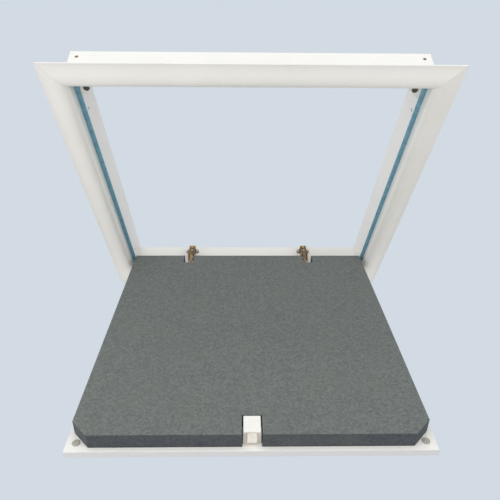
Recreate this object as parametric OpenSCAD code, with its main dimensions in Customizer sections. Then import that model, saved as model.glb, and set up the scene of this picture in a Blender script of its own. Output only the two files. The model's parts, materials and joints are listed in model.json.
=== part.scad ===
// Insulated ceiling hatch: a mitred frame with a drop-down door on two concealed hinges.
// +Z points up into the loft, z = 0 is the ceiling's lower face, the origin is the
// opening's centre, the hinges are on the +Y side and the catch is on the -Y side.
// Door pieces are drawn shut and then carried to the angle at which the door stands.

/* [Frame] */
// Outside of the upstand, along X and along Y
upstand_out = 556; // [480:1:900]
// Height of the upstand above the ceiling's lower face
upstand_h = 70; // [66:1:150]
// Overall thickness of the upstand's hollow wall
upstand_t = 17; // [14:0.5:22]
// Skin thickness of the hollow profile
skin = 2.4; // [1.6:0.1:3]
// Height of the web between the upstand's two chambers
chamber_split_z = 42; // [38:1:44]
// Width of the flange that laps the ceiling
flange_w = 30; // [24:1:60]
// Thickness of the flange's outer edge
flange_edge = 2; // [1.5:0.1:4]
// Depth of the moulding's crest below the ceiling
crest_h = 8; // [6:0.5:12]
// Distance of the crest from the reveal
crest_in = 10; // [8:0.5:14]
// Height of the rebate's shoulder above the ceiling's lower face
shoulder_z = 17; // [17:0.5:22]
// Width of the rebate's shoulder
rebate_w = 8; // [6:0.5:10]
// Radius on the upstand's top edges
edge_r = 1; // [0.5:0.1:2]
// Radius where the upstand meets the flange
heel_r = 6; // [2:0.5:8]

/* [Seal] */
// Free thickness of the seal strip
seal_t = 1.7; // [1.2:0.1:3]
// Air between the seal and the shut door
seal_gap = 0.3; // [0.2:0.1:1]

/* [Door] */
// Gap between the panel's edge and the reveal
reveal_gap = 3; // [2:0.5:5]
// Thickness of the panel
panel_t = 12; // [10:0.5:16]
// Thickness of the insulation
foam_t = 25; // [24:1:50]
// Gap between the insulation and the upstand at the front and the sides
foam_gap = 2.5; // [2:0.5:6]
// Gap between the insulation and the upstand at the hinge side
foam_rear_gap = 4; // [3:0.5:14]
// Leg of the insulation's two cut front corners
foam_cut = 26; // [26:0.5:30]
// Angle at which the door stands open
open_angle = 62; // [0:1:90]

/* [Hinges] */
// Distance of each hinge from the middle
hinge_x = 134; // [60:1:170]
// Turn of the short link for each degree of the door
short_ratio = -1; // [-1.02:0.01:-0.98]
// Turn of the long link for each degree of the door
long_ratio = -0.72; // [-0.74:0.01:-0.7]
// Radius of the link pins
pin_r = 1.2; // [1:0.05:1.4]
// Bow of the short link to the side of its pins
short_bow = 4.4; // [4.2:0.1:4.6]
// Thickness of the hinge's pressed sheet
sheet = 1.2; // [0.8:0.1:1.3]
// Depth of the pocket for the hinge's tray in the panel
pocket_d = 7.2; // [7:0.1:7.5]

/* [Catch] */
// Width of the catch's cover
cover_w = 25.6; // [24:0.1:32]
// Length of the catch's cover
cover_l = 29.7; // [29:0.1:40]
// Height of the catch's cover above the panel
cover_h = 24; // [23:0.5:30]
// Set-back of the cover from the insulation's front face
cover_back = 5; // [4:0.5:8]
// Width of the bolt
bolt_w = 14.6; // [10:0.1:16]
// Reach of the bolt's nose past the cover
bolt_reach = 4; // [3:0.1:5]

/* [Corner magnets] */
// Leg of the triangular corner bracket
bracket_leg = 28; // [26:0.5:28]
// Radius of the magnets
magnet_r = 4.5; // [4:0.1:4.8]
// Distance of the magnets from the upstand's side wall
magnet_in_x = 9.5; // [9:0.1:10]
// Distance of the magnets from the upstand's front wall
magnet_in_y = 10.5; // [10:0.1:11]
// Thickness of the steel discs on the door
disc_t = 1.5; // [1:0.1:2.2]
// Radius of the steel discs on the door
disc_r = 5.8; // [5:0.1:6.5]

/* [Fixings] */
// Distance between the two fixing holes of a side
fixing_pitch = 409; // [300:1:420]
// Height of the fixing holes
fixing_z = 26; // [24:0.5:34]
// Radius of the fixing holes
fixing_r = 3; // [2:0.1:3.5]
// Distance of the corner screws from the frame's outer corner
corner_inset = 12; // [10:0.5:14]
// Length of a corner key's leg
key_leg = 60; // [40:1:80]

/* [Hidden] */
$fn = 48;

// Clearances
mitre_gap = 0.1;
fit = 0.15;
run_fit = 0.05;
press = 0.02;
side_gap = 0.3;
open_fit = 0.6;
cut = 0.1;

// Frame
half_up = upstand_out / 2;
half_in = half_up - upstand_t;
half_reveal = half_in + rebate_w;
half_flange = half_up + flange_w;
crest_n = half_reveal + crest_in;
nose_room = 6;
key_w = upstand_t - 2 * skin - 2 * fit;
key_out = half_up - skin - fit;
key_z0 = chamber_split_z + skin / 2 + fit;
key_h = upstand_h - skin - fit - key_z0;

// Door, shut
panel_in_z = shoulder_z - seal_t - seal_gap;
panel_out_z = panel_in_z - panel_t;
half_panel = half_reveal - reveal_gap;
panel_bevel = 1.2;
foam_half = half_in - foam_gap;
foam_rear = half_in - foam_rear_gap;
foam_top_z = panel_in_z + foam_t;
foam_bevel = 1;

// Hinge pins with the door shut, as [y, z]
arm_low_in = 20.8;
arm_low_up = 5.7;
arm_high_in = 25.5;
arm_high_up = 20.8;
tray_low_in = 5;
tray_low_down = 2.7;
tray_high_in = 3.1;
tray_high_up = 1.5;
arm_pin_low = [half_in - arm_low_in, panel_in_z + arm_low_up];
tray_pin_low = [half_in - tray_low_in, panel_in_z - tray_low_down];
arm_pin_high = [half_in - arm_high_in, panel_in_z + arm_high_up];
tray_pin_high = [half_in - tray_high_in, panel_in_z + tray_high_up];
eye_r = pin_r + 1.7;
loose_eye_r = pin_r + open_fit + 0.8;
link_half = 2.2;
short_eye_r = pin_r + 1.2;
short_half = 1.9;
long_x = 2.5;
ear_x = long_x + side_gap;
short_x = ear_x + sheet + side_gap;
long_wide_x = short_x - side_gap - 0.1;
long_wide_l = 17;
rivet_in = short_x - 0.1;
cheek_x = short_x + sheet + side_gap;
arm_half = cheek_x + sheet;
arm_top_z = 66;
arm_web_in = 12;
arm_web_y = half_in - arm_web_in;
arm_nose_r = 3.4;
arm_back_r = 4.5;
plate_t = 2;
plate_z = 57;
wing_r = 4.5;
wing_x = 10.5;
rail_half = cheek_x - side_gap;
rail_z0 = 46;
arm_screw_z = 62;
tray_in = arm_half + 0.8;
tray_wall = 0.8;
tray_floor = 1;
tray_out = tray_in + tray_wall;
tray_l = 24.4;
tray_front = half_in - tray_l;
tray_z = panel_in_z - pocket_d;
tab_l = 8;
tab_screw_x = 5;
notch_inner = arm_half + 2;
notch_outer = arm_half + 5;
notch_front = tray_front - tab_l - 2.6;

// Catch, shut
cover_front = -(foam_half - cover_back);
cover_rear = cover_front + cover_l;
cover_wall = 1.4;
cover_r = 1.5;
catch_notch_half = cover_w / 2 + 1.7;
base_t = 1.6;
base_half = cover_w / 2 - cover_wall - 0.2;
guide_x = bolt_w / 2 + side_gap;
guide_front = cover_front + 2;
guide_l = 16.5;
guide_rear = guide_front + guide_l;
stop_y = cover_rear - cover_wall - 1.8 - fit;
bolt_z0 = panel_in_z + base_t + side_gap;
bolt_z1 = panel_in_z + cover_h - cover_wall - 0.6;
bolt_front = cover_front - 0.5;
bolt_tip = cover_front - bolt_reach;
bolt_lead = 0.7;
bolt_lug_y = guide_rear + side_gap;
bolt_lug_t = 2;
spring_r = 3;
spring_wire = 0.6;
spring_turns = 7;
spring_y0 = cover_front + 7.7;
spring_z = panel_in_z + 11.5;
keeper_half = 12;
keeper_t = 1.5;
keeper_reach = 5.2;
keeper_z = shoulder_z + 0.4;
keeper_top = 44;
keeper_screw_z = 39;

// Corner bracket and magnet
bracket_z = panel_in_z + 3.3;
bracket_floor = 2;
bracket_wall = 2;
bracket_h = 13.5;
bracket_top = bracket_z + bracket_h;
magnet_t = 4;
magnet_z = panel_in_z + disc_t + 0.3;
magnet_x = half_in - magnet_in_x;
magnet_y = -(half_in - magnet_in_y);
boss_r = magnet_r + 1.5;
bracket_screw_in = bracket_leg - 5;
bracket_screw_z = bracket_z + 8.5;

// Screws, as shank radius, length under the head, head radius and head height
corner_screw = [1.75, 13, 2.8];
small_screw = [1.6, 9, 2.9, 1.7];
tray_screw = [1.4, 8, 2.4, 1.3];
plate_screw = [2, 11, 3.6, 2];
front_screw = [1.6, 5, 2.7, 1.6];
depth_screw = [1.6, 5, 2.4, 1.4];
corner_screw_z = 56;
side_screw_z = 50;

white = [0.95, 0.95, 0.93];
foam_grey = [0.44, 0.46, 0.46];
seal_teal = [0.25, 0.48, 0.58];
bronze = [0.42, 0.31, 0.2];
steel = [0.7, 0.7, 0.68];
nylon = [0.9, 0.88, 0.84];

// Points on an arc from angle a0 to a1
function arc_points(c, r, a0, a1, n) =
    [for (i = [0:n]) c + r * [cos(a0 + (a1 - a0) * i / n), sin(a0 + (a1 - a0) * i / n)]];
function turned(v, a) = [v.x * cos(a) - v.y * sin(a), v.x * sin(a) + v.y * cos(a)];
function unit(v) = v / norm(v);
// Where the low tray pin has gone when the door stands open
tray_pin_open = arm_pin_low + turned(tray_pin_low - arm_pin_low, short_ratio * open_angle);

// The frame's front moulding, as [distance from the middle, height]: a wave from the
// flange's edge to the crest, then a quarter ellipse into the reveal
function wave(t) = [half_flange - (half_flange - crest_n) * t,
    -flange_edge - (crest_h - flange_edge) * (1 - cos(180 * t)) / 2];
function nose(a, inset = 0) = [crest_n - (crest_in - inset) * sin(a), -(crest_h - inset) * cos(a)];
frame_outline = concat(
    [[half_in, shoulder_z]],
    arc_points([half_in + edge_r, upstand_h - edge_r], edge_r, 180, 90, 4),
    arc_points([half_up - edge_r, upstand_h - edge_r], edge_r, 90, 0, 4),
    arc_points([half_up + heel_r, heel_r], heel_r, 180, 270, 5),
    [[half_flange, 0]],
    [for (i = [0:12]) wave(i / 12)],
    [for (a = [10:10:90]) nose(a)],
    [[half_reveal, shoulder_z]]);
nose_chamber = concat(
    [[half_reveal + skin, shoulder_z - skin], [half_up - skin, shoulder_z - skin],
     [half_up - skin, -skin], [crest_n + nose_room, -skin],
     [crest_n + nose_room, wave(1 - nose_room / (half_flange - crest_n)).y + skin]],
    [for (a = [0:15:90]) nose(a, skin)]);

module frame_profile() {
    difference() {
        polygon(frame_outline);
        translate([half_in + skin, chamber_split_z + skin / 2])
            square([upstand_t - 2 * skin, upstand_h - chamber_split_z - 1.5 * skin]);
        translate([half_in + skin, shoulder_z + skin])
            square([upstand_t - 2 * skin, chamber_split_z - shoulder_z - 1.5 * skin]);
        polygon(nose_chamber);
    }
}

// A straight length of profile for the +X side, cut to 45 degrees at both ends
module mitred(z0, z1) {
    near = half_in - 10;
    far = half_flange + 2;
    g = mitre_gap / 2 * sqrt(2);
    intersection() {
        rotate([90, 0, 0]) linear_extrude(2 * far, center = true) children();
        translate([0, 0, z0]) linear_extrude(z1 - z0)
            polygon([[near, -near + g], [far, -far + g], [far, far - g], [near, near - g]]);
    }
}
module at_right() { children(); }
module at_hinge_side() { rotate([0, 0, 90]) children(); }
module at_left() { rotate([0, 0, 180]) children(); }
module at_catch_side() { rotate([0, 0, 270]) children(); }

// Screws point down -Z from a head that seats on z = 0
module pan_screw(s) {
    rotate_extrude() polygon([[0, s[3]], [0.45 * s[2], 0.95 * s[3]], [0.85 * s[2], 0.6 * s[3]],
        [s[2], 0], [s[0], 0], [s[0], s[0] - s[1]], [0, -s[1]]]);
}
module flush_screw(s, grow = 0) {
    rotate_extrude() polygon([[0, grow], [s[2] + grow, grow], [s[2] + grow, 0],
        [s[0] + grow, s[0] - s[2]], [s[0] + grow, s[0] - s[1]], [0, -s[1] - grow]]);
}
module pilot(s) { translate([0, 0, -s[1] - 1]) cylinder(r = s[0] + press, h = s[1] + 2); }

// Outward and inward faces of the +X member
module on_outer_face(y, z) { translate([half_up, y, z]) rotate([0, 90, 0]) children(); }
module on_inner_face(y, z) { translate([half_in, y, z]) rotate([0, -90, 0]) children(); }

module frame_member(screw_z) {
    difference() {
        mitred(-crest_h - 1, upstand_h + 1) frame_profile();
        for (side = [-1, 1])
            on_outer_face(side * (half_up - corner_inset), screw_z) flush_screw(corner_screw, press);
    }
}
module side_member() {
    difference() {
        frame_member(side_screw_z);
        for (side = [-1, 1])
            translate([half_in - 1, side * fixing_pitch / 2, fixing_z]) rotate([0, 90, 0])
                cylinder(r = fixing_r, h = upstand_t + 2);
    }
}
// Pilot holes for the bracket screw, at the end of the member that runs into the catch side
module bracket_pilot(side) {
    on_inner_face(side * (half_in - bracket_screw_in), bracket_screw_z) pilot(small_screw);
}
module frame_right() {
    color(white) difference() {
        at_right() side_member();
        bracket_pilot(-1);
    }
}
module frame_left() {
    color(white) at_left() difference() {
        side_member();
        bracket_pilot(1);
    }
}
module frame_catch_side() {
    color(white) at_catch_side() difference() {
        frame_member(corner_screw_z);
        for (side = [-1, 1]) bracket_pilot(side);
        for (side = [-1, 1])
            on_inner_face(side * keeper_half * 0.55, keeper_screw_z) pilot(small_screw);
    }
}
module frame_hinge_side() {
    color(white) at_hinge_side() difference() {
        frame_member(corner_screw_z);
        for (x = [-hinge_x, hinge_x], side = [-1, 1])
            on_inner_face(x + side * wing_x, plate_z) pilot(plate_screw);
    }
}

// An L-shaped key in the upper chamber of each corner
module corner_key() {
    difference() {
        union() {
            translate([key_out - key_leg, key_out - key_w, key_z0]) cube([key_leg, key_w, key_h]);
            translate([key_out - key_w, key_out - key_leg, key_z0]) cube([key_w, key_leg, key_h]);
        }
        on_outer_face(half_up - corner_inset, side_screw_z) pilot(corner_screw);
        translate([half_up - corner_inset, half_up, corner_screw_z]) rotate([-90, 0, 0])
            pilot(corner_screw);
    }
}
module corner_keys() {
    color(steel) {
        corner_key();
        mirror([1, 0, 0]) corner_key();
        mirror([0, 1, 0]) corner_key();
        mirror([1, 0, 0]) mirror([0, 1, 0]) corner_key();
    }
}
module corner_screws() {
    color(bronze) {
        for (turn = [0, 180], side = [-1, 1]) rotate([0, 0, turn])
            on_outer_face(side * (half_up - corner_inset), side_screw_z) flush_screw(corner_screw);
        for (turn = [90, 270], side = [-1, 1]) rotate([0, 0, turn])
            on_outer_face(side * (half_up - corner_inset), corner_screw_z) flush_screw(corner_screw);
    }
}

// Seal strip with its lower edges eased
module seal_strip() {
    n0 = half_in + side_gap;
    n1 = half_reveal - fit;
    z0 = shoulder_z - seal_t;
    ease = seal_t / 3;
    mitred(z0, shoulder_z)
        polygon([[n0, shoulder_z], [n0, z0 + ease], [n0 + ease, z0], [n1 - ease, z0],
            [n1, z0 + ease], [n1, shoulder_z]]);
}
module seal_right() { color(seal_teal) at_right() seal_strip(); }
module seal_left() { color(seal_teal) at_left() seal_strip(); }
module seal_hinge_side() { color(seal_teal) at_hinge_side() seal_strip(); }
module seal_catch_side() { color(seal_teal) at_catch_side() seal_strip(); }

// Corner bracket for the corner at +X and -Y: a floor with a boss for the magnet, and a
// wall against each side of the frame
module bracket_plan(leg) {
    c = half_in - run_fit;
    polygon([[c, -c], [half_in - leg, -c], [c, -half_in + leg]]);
}
module corner_bracket() {
    c = half_in - run_fit;
    difference() {
        union() {
            translate([0, 0, bracket_z]) linear_extrude(bracket_floor) bracket_plan(bracket_leg);
            translate([0, 0, bracket_z]) linear_extrude(magnet_z + magnet_t + 1.5 - bracket_z)
                intersection() {
                    bracket_plan(bracket_leg);
                    translate([magnet_x, magnet_y]) circle(boss_r);
                }
            translate([0, 0, bracket_z]) linear_extrude(bracket_top - bracket_z)
                difference() {
                    bracket_plan(bracket_leg);
                    translate([c - bracket_wall - 2 * bracket_leg, -c + bracket_wall])
                        square(2 * bracket_leg);
                }
        }
        translate([magnet_x, magnet_y, magnet_z - 2])
            cylinder(r = magnet_r + press, h = magnet_t + 2 + press);
        bracket_screw_places() pilot(small_screw);
    }
}
module bracket_screw_places() {
    c = half_in - run_fit - bracket_wall;
    translate([c, -(half_in - bracket_screw_in), bracket_screw_z]) rotate([0, -90, 0]) children();
    translate([half_in - bracket_screw_in, -c, bracket_screw_z]) rotate([-90, 0, 0]) children();
}
module corner_bracket_right() { color(white) corner_bracket(); }
module corner_bracket_left() { color(white) mirror([1, 0, 0]) corner_bracket(); }
module corner_magnet() {
    translate([magnet_x, magnet_y, magnet_z]) cylinder(r = magnet_r, h = magnet_t);
}
module corner_magnet_right() { color([0.12, 0.12, 0.13]) corner_magnet(); }
module corner_magnet_left() { color([0.12, 0.12, 0.13]) mirror([1, 0, 0]) corner_magnet(); }
module bracket_screws() {
    color(steel) {
        bracket_screw_places() pan_screw(small_screw);
        mirror([1, 0, 0]) bracket_screw_places() pan_screw(small_screw);
    }
}

// A flat shape in the YZ plane, given thickness along X from x0 to x1
module slab(x0, x1) { translate([x0, 0, 0]) rotate([90, 0, 90]) linear_extrude(x1 - x0) children(); }
module pair(x0, x1) {
    slab(x0, x1) children();
    slab(-x1, -x0) children();
}
// A strip from p to q, and a bar with round ends
module strip(p, q, r) {
    n = turned(unit(q - p), 90) * r;
    polygon([p + n, q + n, q - n, p - n]);
}
module bar(p, q, r) {
    translate(p) circle(r);
    translate(q) circle(r);
    strip(p, q, r);
}
module turn_about(p, a) { translate([0, p.x, p.y]) rotate([a, 0, 0]) translate([0, -p.x, -p.y]) children(); }
module open_door() {
    translate([0, tray_pin_open.x, tray_pin_open.y]) rotate([open_angle, 0, 0])
        translate([0, -tray_pin_low.x, -tray_pin_low.y]) children();
}
module at_hinges() {
    translate([-hinge_x, 0, 0]) children();
    translate([hinge_x, 0, 0]) children();
}
module pin(p, x0, x1, r) { translate([0, p.x, p.y]) rotate([0, 90, 0]) translate([0, 0, x0]) cylinder(r = r, h = x1 - x0); }

// Keeper: a plate on the catch side's inner wall with a ledge under the bolt
module keeper_profile() {
    n = -half_in;
    polygon([[n, keeper_z], [n + keeper_reach - 0.8, keeper_z], [n + keeper_reach - 0.8, keeper_z + 1.6],
        [n + keeper_t, keeper_z + 1.6], [n + keeper_t, keeper_top], [n, keeper_top]]);
    translate([n + keeper_reach - 0.8, keeper_z + 0.8]) circle(0.8);
}
module keeper_screw_places() {
    for (side = [-1, 1])
        translate([side * keeper_half * 0.55, -half_in + keeper_t, keeper_screw_z])
            rotate([-90, 0, 0]) children();
}
module keeper() {
    color(steel) difference() {
        slab(-keeper_half, keeper_half) keeper_profile();
        keeper_screw_places() pilot(small_screw);
    }
}
module keeper_screws() { color(steel) keeper_screw_places() pan_screw(small_screw); }

// Hinge plate: a cross with two wings and a raised rail that the arm sits over
module plate_screw_places() {
    for (side = [-1, 1])
        translate([side * wing_x, half_in - plate_t, plate_z]) rotate([90, 0, 0]) children();
}
module hinge_plate() {
    difference() {
        union() {
            translate([0, half_in, plate_z]) rotate([90, 0, 0]) {
                for (side = [-1, 1]) translate([side * wing_x, 0, 0]) cylinder(r = wing_r, h = plate_t);
                translate([-wing_x, -wing_r, 0]) cube([2 * wing_x, 2 * wing_r, plate_t]);
            }
            translate([-arm_half, half_in - plate_t, rail_z0 - 1])
                cube([2 * arm_half, plate_t, arm_top_z - rail_z0 + 2]);
            translate([-rail_half, arm_web_y + sheet + fit, rail_z0])
                cube([2 * rail_half, arm_web_in - plate_t / 2 - sheet - fit, arm_top_z - rail_z0]);
        }
        plate_screw_places() pilot(plate_screw);
        translate([0, arm_web_y, arm_screw_z]) rotate([90, 0, 0]) pilot(small_screw);
    }
}
module hinge_plate_left() { color(bronze) translate([-hinge_x, 0, 0]) hinge_plate(); }
module hinge_plate_right() { color(bronze) translate([hinge_x, 0, 0]) hinge_plate(); }
module hinge_plate_screws() { color(steel) at_hinges() plate_screw_places() pan_screw(plate_screw); }

// Hinge arm: two cheeks and a cranked web, carrying the links' fixed pins
arm_foot_y = half_in - plate_t - side_gap;
web_bend_z = arm_screw_z - 4;
web_start = [arm_web_y, web_bend_z];
web_end = arm_pin_high + arm_back_r * [cos(115), sin(115)];
web_n = turned(unit(web_end - web_start), -90);
module cheek_profile() {
    bar(arm_pin_low, arm_pin_high, arm_nose_r);
    translate(arm_pin_high) circle(arm_back_r);
    polygon([arm_pin_low + [arm_nose_r - 0.1, 0.6], [arm_foot_y, rail_z0], [arm_foot_y, arm_top_z],
        [arm_web_y, arm_top_z], web_start, web_end, arm_pin_high, arm_pin_low]);
}
module web_profile() {
    inner = arm_pin_high + (arm_back_r - sheet) * [cos(115), sin(115)];
    polygon([[arm_web_y, arm_top_z], [arm_web_y + sheet, arm_top_z],
        [arm_web_y + sheet, web_bend_z - 0.9 * sheet], inner, web_end, web_start]);
}
// A place on the web's slanted face, at a part of its length, and one on its upright face
module on_slant(part) {
    p = web_start + part * (web_end - web_start);
    translate([0, p.x, p.y]) rotate([atan2(-web_n.x, web_n.y), 0, 0]) children();
}
module on_upright() { translate([0, arm_web_y, arm_screw_z]) rotate([90, 0, 0]) children(); }
module hinge_arm() {
    difference() {
        union() {
            pair(cheek_x, arm_half) cheek_profile();
            slab(-arm_half, arm_half) web_profile();
        }
        for (p = [arm_pin_low, arm_pin_high]) pin(p, -arm_half - 1, arm_half + 1, pin_r + press);
        on_upright() pilot(small_screw);
        on_slant(0.42) pilot(depth_screw);
        on_slant(0.8) pilot(front_screw);
    }
}
module hinge_arm_left() { color(bronze) translate([-hinge_x, 0, 0]) hinge_arm(); }
module hinge_arm_right() { color(bronze) translate([hinge_x, 0, 0]) hinge_arm(); }
module arm_screws() {
    color([0.75, 0.6, 0.3]) at_hinges() {
        on_upright() pan_screw(small_screw);
        on_slant(0.8) pan_screw(front_screw);
    }
}
module adjusting_screws() { color(steel) at_hinges() on_slant(0.42) pan_screw(depth_screw); }
// The high pin runs right through; the low one is a rivet in each cheek, because the long
// link swings past between them
module arm_pins() {
    color(steel) at_hinges() {
        pin(arm_pin_high, -arm_half, arm_half, pin_r);
        pin(arm_pin_low, rivet_in, arm_half, pin_r);
        pin(arm_pin_low, -arm_half, -rivet_in, pin_r);
    }
}

// Short link: two bowed plates and the pin that joins them through the tray's ears
short_chord = norm(arm_pin_low - tray_pin_low);
short_arc_r = (pow(short_chord / 2, 2) + pow(short_bow, 2)) / (2 * short_bow);
short_bow_way = turned(unit(arm_pin_low - tray_pin_low), 90);
short_arc_c = (arm_pin_low + tray_pin_low) / 2 + short_bow_way * (short_bow - short_arc_r);
module short_profile() {
    difference() {
        union() {
            intersection() {
                translate(short_arc_c) difference() {
                    circle(short_arc_r + short_half);
                    circle(short_arc_r - short_half);
                }
                polygon([short_arc_c, short_arc_c + 2 * (tray_pin_low - short_arc_c),
                    short_arc_c + 4 * short_arc_r * short_bow_way,
                    short_arc_c + 2 * (arm_pin_low - short_arc_c)]);
            }
            translate(arm_pin_low) circle(short_eye_r);
            translate(tray_pin_low) circle(short_eye_r);
        }
        translate(arm_pin_low) circle(pin_r + run_fit);
    }
}
module short_link() {
    turn_about(arm_pin_low, short_ratio * open_angle) {
        pair(short_x, short_x + sheet) short_profile();
        pin(tray_pin_low, -short_x - sheet / 2, short_x + sheet / 2, pin_r);
    }
}
module short_link_left() { color(bronze) translate([-hinge_x, 0, 0]) short_link(); }
module short_link_right() { color(bronze) translate([hinge_x, 0, 0]) short_link(); }

// Long link: a bar between the ears, wider towards the arm, with a loose eye on the tray's high pin
module long_link() {
    way = unit(tray_pin_high - arm_pin_high);
    turn_about(arm_pin_high, long_ratio * open_angle) difference() {
        union() {
            slab(-long_x, long_x) strip(arm_pin_high, tray_pin_high, link_half);
            slab(-long_wide_x, long_wide_x) strip(arm_pin_high, arm_pin_high + long_wide_l * way, link_half);
            pin(arm_pin_high, -long_wide_x, long_wide_x, eye_r);
            pin(tray_pin_high, -long_x, long_x, loose_eye_r);
        }
        pin(arm_pin_high, -long_wide_x - 1, long_wide_x + 1, pin_r + run_fit);
        pin(tray_pin_high, -long_x - 1, long_x + 1, pin_r + open_fit);
    }
}
module long_link_left() { color(bronze) translate([-hinge_x, 0, 0]) long_link(); }
module long_link_right() { color(bronze) translate([hinge_x, 0, 0]) long_link(); }

// Hinge tray: a pressed dish let into the panel, with two ears for the links and a tab
// for its screws; its rear is open so that the links can swing out over the edge
ear_r = pin_r + 1.4;
module ear_profile() {
    bar(tray_pin_low, tray_pin_high, ear_r);
    polygon([[tray_pin_low.x - ear_r - 1.6, tray_z + tray_floor / 2],
        [tray_pin_high.x + ear_r - 0.6, tray_z + tray_floor / 2],
        [tray_pin_high.x + ear_r, tray_pin_high.y], tray_pin_high,
        [tray_pin_low.x - ear_r, tray_pin_low.y]]);
}
module tray_screw_places() {
    for (side = [-1, 1])
        translate([side * tab_screw_x, tray_front - tab_l / 2, panel_in_z + tray_floor]) children();
}
module hinge_tray() {
    rear = half_panel - 0.5;
    difference() {
        union() {
            difference() {
                translate([-tray_out, tray_front, tray_z])
                    cube([2 * tray_out, rear - tray_front, pocket_d]);
                translate([-tray_in, tray_front + tray_wall, tray_z + tray_floor])
                    cube([2 * tray_in, rear - tray_front, pocket_d]);
            }
            translate([-tray_out, tray_front - tab_l, panel_in_z])
                cube([2 * tray_out, tab_l + tray_wall, tray_floor]);
            translate([-tray_out, tray_front, tray_z])
                cube([2 * tray_out, tray_wall, pocket_d + tray_floor]);
            pair(ear_x, ear_x + sheet) ear_profile();
        }
        pin(tray_pin_low, -tray_in, tray_in, pin_r + run_fit);
        pin(tray_pin_high, -tray_in, tray_in, pin_r + press);
        tray_screw_places() pilot(tray_screw);
    }
}
module hinge_tray_left() { color(bronze) open_door() translate([-hinge_x, 0, 0]) hinge_tray(); }
module hinge_tray_right() { color(bronze) open_door() translate([hinge_x, 0, 0]) hinge_tray(); }
module tray_screws() { color(steel) open_door() at_hinges() tray_screw_places() pan_screw(tray_screw); }
module tray_pins() {
    color(steel) open_door() at_hinges() pin(tray_pin_high, -ear_x - sheet, ear_x + sheet, pin_r);
}

// A block whose upper and lower edges are bevelled
module bevelled(half_x, y0, y1, z0, z1, low, high) {
    intersection() {
        slab(-half_x, half_x) polygon([[y0 + low, z0], [y1 - low, z0], [y1, z0 + low], [y1, z1 - high],
            [y1 - high, z1], [y0 + high, z1], [y0, z1 - high], [y0, z0 + low]]);
        translate([0, y1, 0]) rotate([90, 0, 0]) linear_extrude(y1 - y0)
            polygon([[-half_x + low, z0], [half_x - low, z0], [half_x, z0 + low], [half_x, z1 - high],
                [half_x - high, z1], [-half_x + high, z1], [-half_x, z1 - high], [-half_x, z0 + low]]);
    }
}
disc_stem_r = 2;
disc_stem_l = 6;
module strike_places() {
    translate([magnet_x, magnet_y, panel_in_z]) children();
    translate([-magnet_x, magnet_y, panel_in_z]) children();
}
module catch_screw_places() {
    for (side = [-1, 1]) {
        translate([side * 4.5, cover_front + 8, panel_in_z + base_t]) children();
        translate([side * 8, guide_rear + 5, panel_in_z + base_t]) children();
    }
}
catch_screw = [1.4, 8, 2.6];
module door_panel() {
    color(white) open_door() difference() {
        bevelled(half_panel, -half_panel, half_panel, panel_out_z, panel_in_z, panel_bevel, panel_bevel / 3);
        at_hinges() translate([-tray_out - cut, tray_front - cut, tray_z])
            cube([2 * (tray_out + cut), half_panel - tray_front + 1, pocket_d + 1]);
        at_hinges() tray_screw_places() pilot(tray_screw);
        strike_places() translate([0, 0, -disc_stem_l - fit])
            cylinder(r = disc_stem_r + press, h = disc_stem_l + 1);
        catch_screw_places() pilot(catch_screw);
    }
}
module insulation_block() {
    corner = foam_half + 1;
    color(foam_grey) open_door() difference() {
        bevelled(foam_half, -foam_half, foam_rear, panel_in_z, foam_top_z, 0, foam_bevel);
        for (side = [-1, 1])
            translate([0, 0, panel_in_z - 1]) linear_extrude(foam_t + 2)
                polygon([[side * corner, -foam_half + foam_cut + 1], [side * corner, -corner],
                    [side * (foam_half - foam_cut - 1), -corner]]);
        for (side = [-1, 1])
            translate([side * (hinge_x + (notch_outer - notch_inner) / 2), (notch_front + half_in) / 2,
                panel_in_z + foam_t / 2])
                cube([notch_inner + notch_outer, half_in - notch_front, foam_t + 2], center = true);
        translate([-catch_notch_half, -foam_half - 1, panel_in_z - 1])
            cube([2 * catch_notch_half, cover_rear + 0.8 + foam_half + 1, foam_t + 2]);
    }
}
module strike_disc() {
    rotate_extrude() polygon([[0, disc_t], [disc_r - 0.5, disc_t], [disc_r, disc_t - 0.5], [disc_r, 0],
        [disc_stem_r, 0], [disc_stem_r, -disc_stem_l], [0, -disc_stem_l]]);
}
module strike_disc_right() {
    color(steel) open_door() translate([magnet_x, magnet_y, panel_in_z]) strike_disc();
}
module strike_disc_left() {
    color(steel) open_door() translate([-magnet_x, magnet_y, panel_in_z]) strike_disc();
}

// Catch: a base with two guides and a stop wall, a cover open at the front, and a sprung bolt
module catch_base() {
    z0 = panel_in_z;
    z1 = bolt_z1;
    color(nylon) open_door() difference() {
        union() {
            translate([-base_half, cover_front + 1, z0])
                cube([2 * base_half, cover_l - cover_wall - fit - 1, base_t]);
            for (side = [-1, 1])
                translate([side * (guide_x + base_half) / 2, (guide_front + guide_rear) / 2, (z0 + z1) / 2])
                    cube([base_half - guide_x, guide_rear - guide_front, z1 - z0], center = true);
            translate([-base_half, stop_y, z0]) cube([2 * base_half, 1.8, z1 - z0]);
            translate([0, stop_y, spring_z]) rotate([90, 0, 0]) cylinder(r = spring_r - spring_wire - 0.4, h = 3);
        }
        catch_screw_places() flush_screw(catch_screw, press);
    }
}
module cover_plan() {
    half = cover_w / 2;
    top = panel_in_z + cover_h;
    translate([-half, panel_in_z]) square([cover_w, cover_h - cover_r]);
    translate([-half + cover_r, panel_in_z]) square([cover_w - 2 * cover_r, cover_h]);
    for (side = [-1, 1]) translate([side * (half - cover_r), top - cover_r]) circle(cover_r);
}
module catch_cover() {
    color(white) open_door() difference() {
        translate([0, cover_rear, 0]) rotate([90, 0, 0]) linear_extrude(cover_l) cover_plan();
        translate([-cover_w / 2 + cover_wall, cover_front - 1, panel_in_z - 1])
            cube([cover_w - 2 * cover_wall, cover_l + 1 - cover_wall, cover_h + 1 - cover_wall]);
    }
}
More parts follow.
